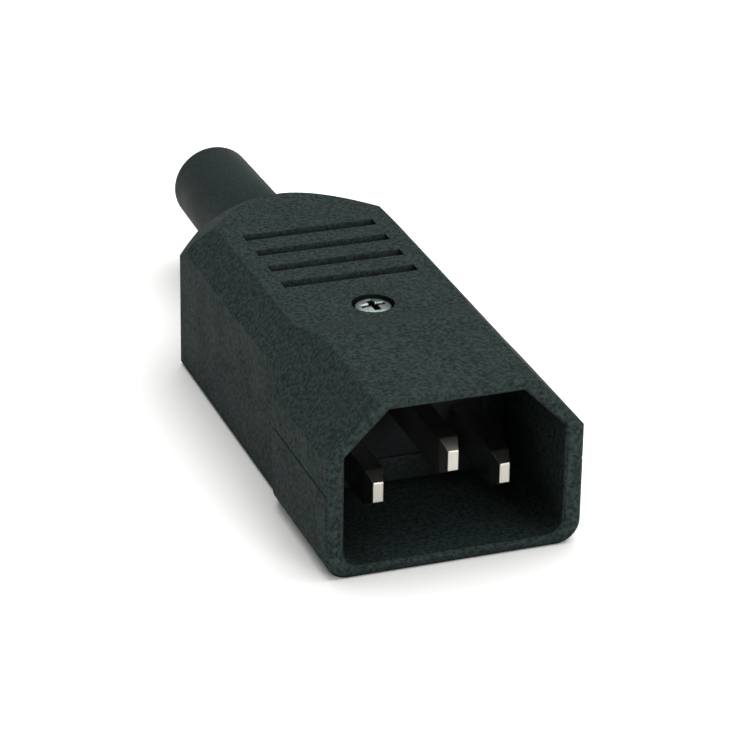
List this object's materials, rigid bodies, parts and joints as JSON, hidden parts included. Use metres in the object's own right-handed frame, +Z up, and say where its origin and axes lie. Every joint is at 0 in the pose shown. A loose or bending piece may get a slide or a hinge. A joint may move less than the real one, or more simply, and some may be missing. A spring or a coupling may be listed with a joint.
{
  "type": "inline power plug",
  "caption": "Rewireable inline appliance plug: chamfered black shroud round flat pins, screwed half shells with grip grooves and a sleeve that guards the cord.",
  "frame": {"origin": "middle of the plug's width and whole length, on the plane of its flat underside", "axes": "+Y from the shroud's mouth towards the cord, +Z up through the housing screw, +X to the right when looking into the shroud along +Y"},
  "size_m": [0.0282, 0.0834, 0.0196],
  "materials": {
    "housing_plastic": "fine moulded grain, matte",
    "carrier_plastic": "moulded, matte",
    "plated_contact": "nickel plated brass, satin",
    "plated_screw": "zinc plated steel, satin",
    "boot_rubber": "soft moulded, matte"
  },
  "bodies": {
    "root": {"upper_housing": "housing_plastic", "lower_housing": "housing_plastic", "contact_carrier": "carrier_plastic", "line_contact": "plated_contact", "neutral_contact": "plated_contact", "earth_contact": "plated_contact", "terminal_screws": "plated_screw", "housing_screw": "plated_screw", "housing_nut": "plated_screw", "cord_clamp_bar": "carrier_plastic", "cord_clamp_screws": "plated_screw", "cable_boot": "boot_rubber"}
  },
  "joints": []
}
